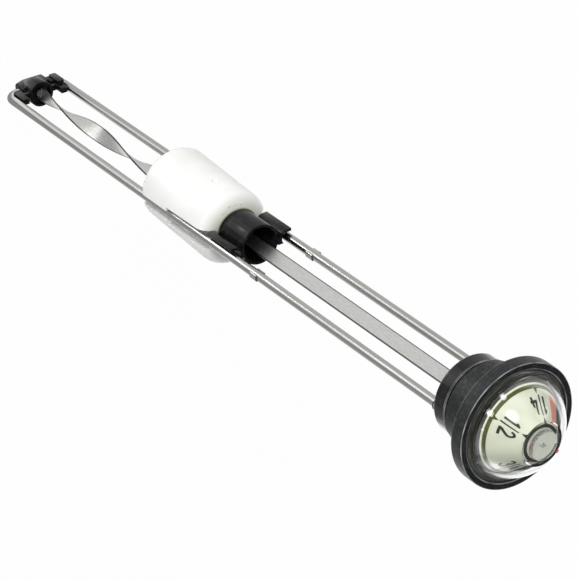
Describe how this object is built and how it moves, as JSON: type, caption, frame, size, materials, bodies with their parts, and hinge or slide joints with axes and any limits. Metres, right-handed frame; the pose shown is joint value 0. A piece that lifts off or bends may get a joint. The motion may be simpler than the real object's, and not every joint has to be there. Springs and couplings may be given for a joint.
{
  "type": "fuel gauge",
  "caption": "Direct-sight tank fuel gauge: domed dial head with a rubber neck, a float on a U-bent guide wire and a twisted strip that turns the dial",
  "frame": {"origin": "centre of the flange's seat, on the axis of the neck, where the gauge rests on the tank", "axes": "+Z out through the lens, -Z down into the tank along the guide wire, X across the two legs of the guide wire, Y normal to their plane"},
  "size_m": [0.0412, 0.0412, 0.2986],
  "materials": {
    "rubber": "moulded black rubber, satin",
    "head_plastic": "moulded black plastic",
    "lens_clear": "clear moulded plastic, polished",
    "index_red": "red ink",
    "dial_cream": "pale luminous plastic",
    "band_ink": "olive ink",
    "track_ink": "black ink",
    "reserve_red": "red ink",
    "arbor_steel": "turned stainless steel",
    "bush_brass": "turned brass",
    "washer_white": "low-friction plastic",
    "wire_steel": "drawn stainless wire",
    "strip_metal": "rolled bright strip",
    "foot_steel": "turned stainless steel",
    "float_white": "moulded white plastic",
    "carrier_black": "moulded black plastic, glossy",
    "bearing_black": "moulded black plastic"
  },
  "bodies": {
    "head": {"grommet": "rubber", "head_body": "head_plastic", "lens": "lens_clear", "index_line": "index_red", "arbor_bush": "bush_brass", "guide_wire": "wire_steel", "bottom_bearing": "bearing_black"},
    "float_unit": {"float": "float_white", "float_carrier": "carrier_black"},
    "dial_unit": {"dial": "dial_cream", "dial_band": "band_ink", "dial_track": "track_ink", "reserve_wedge": "reserve_red", "dial_arbor": "arbor_steel", "thrust_washer": "washer_white", "twisted_strip": "strip_metal", "foot_pin": "foot_steel"}
  },
  "joints": [
    {"name": "float_slide", "type": "slide", "parent": "head", "child": "float_unit", "axis": [0, 0, 1], "range_m": [-0.081, 0]},
    {"name": "dial_spin", "type": "hinge", "parent": "head", "child": "dial_unit", "pos_m": [0, 0, 0], "axis": [0, 0, 1], "range_deg": [0, 307]}
  ],
  "couplings": [
    {"joint": "dial_spin", "follows": "float_slide", "rad_per_m": -66.139}
  ]
}
